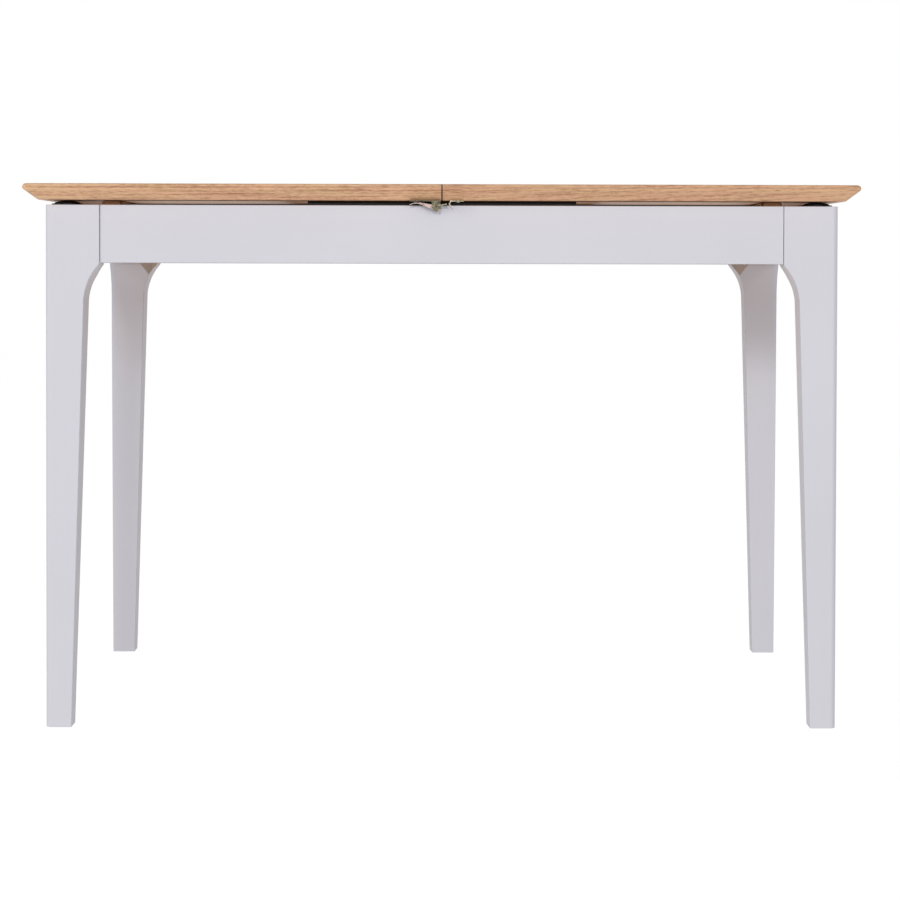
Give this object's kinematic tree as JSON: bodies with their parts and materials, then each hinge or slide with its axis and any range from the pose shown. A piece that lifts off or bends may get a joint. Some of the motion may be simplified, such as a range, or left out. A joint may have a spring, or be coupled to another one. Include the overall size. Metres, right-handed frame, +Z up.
{
  "type": "extending dining table",
  "caption": "Rectangular dining table with a painted frame on tapered legs and an oak top whose halves slide apart over a folded leaf.",
  "frame": {"origin": "on the floor under the middle of the closed table", "axes": "+X along the length, +Y towards the back, +Z up; the front catch is on the -Y side"},
  "size_m": [1.2, 0.8, 0.785],
  "materials": {
    "frame_paint": "satin lilac-grey paint on wood",
    "oak_top": "oiled oak, straight grain along the length, satin",
    "plain_wood": "planed unfinished hardwood",
    "black_steel": "black coated rolled steel, semi-gloss",
    "black_plastic": "moulded black plastic, satin",
    "plated_steel": "bright zinc plated steel",
    "catch_zinc": "yellow passivated zinc on pressed steel, glossy"
  },
  "bodies": {
    "frame": {"leg_front_left": "frame_paint", "leg_front_right": "frame_paint", "leg_back_left": "frame_paint", "leg_back_right": "frame_paint", "apron_front": "frame_paint", "apron_back": "frame_paint", "apron_left": "frame_paint", "apron_right": "frame_paint", "leaf_half_upper": "oak_top", "leaf_half_lower": "oak_top", "corner_brace_front_left": "plain_wood", "corner_brace_front_right": "plain_wood", "corner_brace_back_left": "plain_wood", "corner_brace_back_right": "plain_wood", "cross_rail_left": "plain_wood", "cross_rail_right": "plain_wood", "cross_bearer_left": "plain_wood", "cross_bearer_right": "plain_wood", "leaf_rest": "plain_wood", "leaf_dowel_upper_1": "plain_wood", "leaf_dowel_upper_2": "plain_wood", "leaf_dowel_lower_1": "plain_wood", "leaf_dowel_lower_2": "plain_wood", "slide_rail_front": "black_steel", "slide_rail_back": "black_steel", "leg_glide_front_left": "black_plastic", "leg_glide_front_right": "black_plastic", "leg_glide_back_left": "black_plastic", "leg_glide_back_right": "black_plastic", "brace_bolt_front_left": "plated_steel", "brace_bolt_front_right": "plated_steel", "brace_bolt_back_left": "plated_steel", "brace_bolt_back_right": "plated_steel", "leaf_pivot_left": "plated_steel", "leaf_pivot_right": "plated_steel", "leaf_arm_left": "plated_steel", "leaf_arm_right": "plated_steel", "leaf_hinge_left_upper": "plated_steel", "leaf_hinge_left_lower": "plated_steel", "leaf_hinge_right_upper": "plated_steel", "leaf_hinge_right_lower": "plated_steel"},
    "top_left": {"top_left": "oak_top", "slide_runner_front_left": "black_steel", "slide_runner_back_left": "black_steel", "seam_dowel_1": "plain_wood", "seam_dowel_2": "plain_wood", "seam_dowel_3": "plain_wood", "seam_dowel_4": "plain_wood", "front_catch_base": "catch_zinc", "back_catch_keeper": "catch_zinc"},
    "top_right": {"top_right": "oak_top", "slide_runner_front_right": "black_steel", "slide_runner_back_right": "black_steel", "front_catch_keeper": "catch_zinc", "back_catch_base": "catch_zinc"},
    "front_lever": {"front_catch_lever": "catch_zinc"},
    "front_bail": {"front_catch_bail": "catch_zinc"},
    "back_lever": {"back_catch_lever": "catch_zinc"},
    "back_bail": {"back_catch_bail": "catch_zinc"}
  },
  "joints": [
    {"name": "top_left_slide", "type": "slide", "parent": "frame", "child": "top_left", "axis": [-1, 0, 0], "range_m": [0, 0.2]},
    {"name": "top_right_slide", "type": "slide", "parent": "frame", "child": "top_right", "axis": [1, 0, 0], "range_m": [0, 0.2]},
    {"name": "front_lever_swing", "type": "hinge", "parent": "top_left", "child": "front_lever", "pos_m": [-0.008, -0.3825, 0.751], "axis": [0, -1, 0], "range_deg": [0, 140]},
    {"name": "front_bail_swing", "type": "hinge", "parent": "front_lever", "child": "front_bail", "pos_m": [-0.014, -0.3825, 0.753], "axis": [0, -1, 0], "range_deg": [-140, 0]},
    {"name": "back_lever_swing", "type": "hinge", "parent": "top_right", "child": "back_lever", "pos_m": [0.008, 0.3825, 0.751], "axis": [0, 1, 0], "range_deg": [0, 140]},
    {"name": "back_bail_swing", "type": "hinge", "parent": "back_lever", "child": "back_bail", "pos_m": [0.014, 0.3825, 0.753], "axis": [0, 1, 0], "range_deg": [-140, 0]}
  ],
  "couplings": [
    {"joint": "front_bail_swing", "follows": "front_lever_swing", "ratio": -1},
    {"joint": "back_bail_swing", "follows": "back_lever_swing", "ratio": -1}
  ]
}
